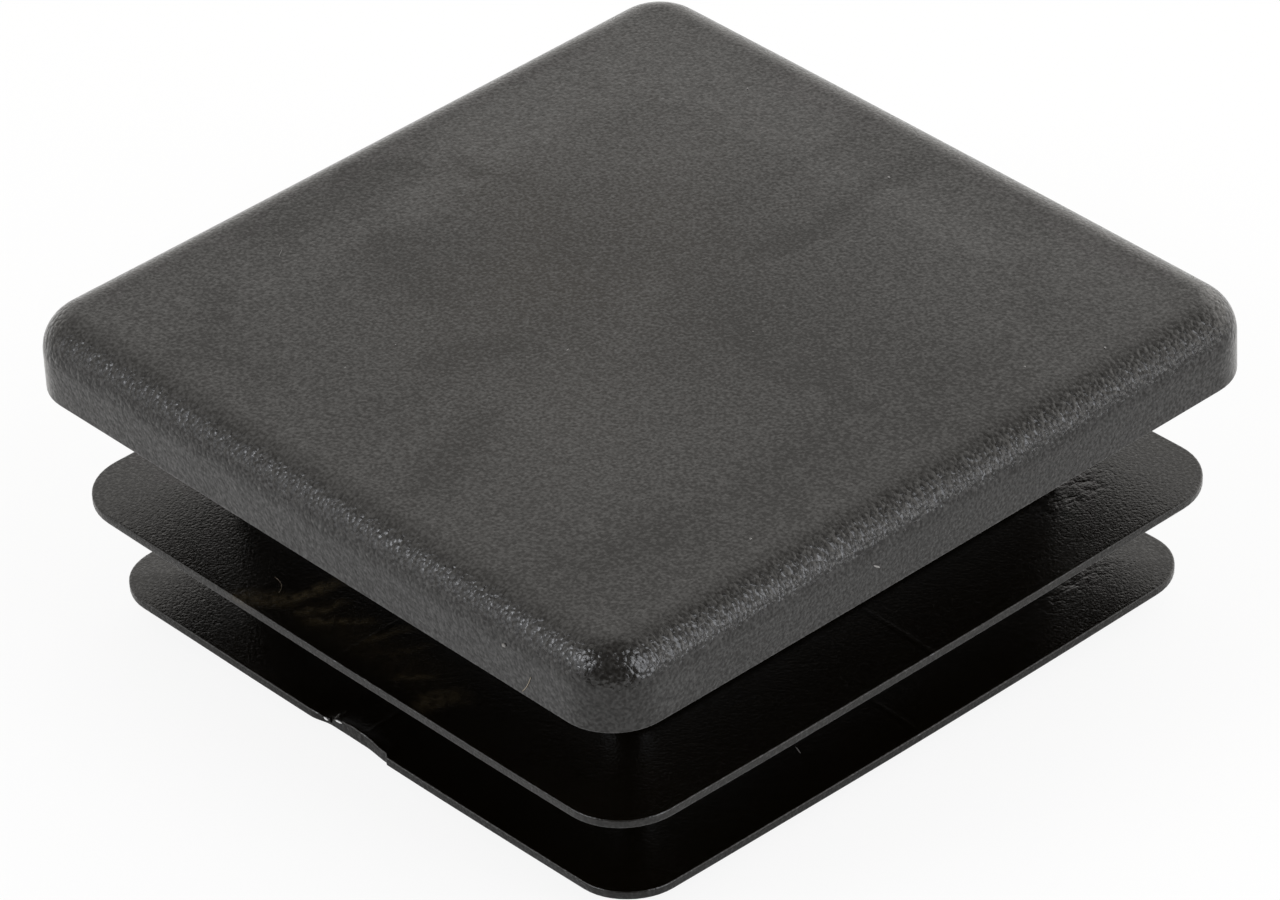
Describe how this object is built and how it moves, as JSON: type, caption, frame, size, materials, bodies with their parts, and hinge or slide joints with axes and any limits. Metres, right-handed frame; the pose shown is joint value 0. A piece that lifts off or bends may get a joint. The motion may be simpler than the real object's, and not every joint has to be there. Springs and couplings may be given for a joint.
{
  "type": "square tube end cap",
  "caption": "Square end cap for a square tube: a flat head with a rounded top edge on a hollow core, ringed by thin flexible fins that grip the inside of the tube.",
  "frame": {"origin": "centre of the seat, the plane of the head's underside that rests on the end of the tube", "axes": "+Z out of the tube through the head, along the cap's axis; X and Y square to the cap's sides"},
  "size_m": [0.05, 0.05, 0.021],
  "materials": {
    "polyethylene": "black moulded polyethylene with a fine matt grain"
  },
  "bodies": {
    "root": {"end_cap": "polyethylene"}
  },
  "joints": []
}
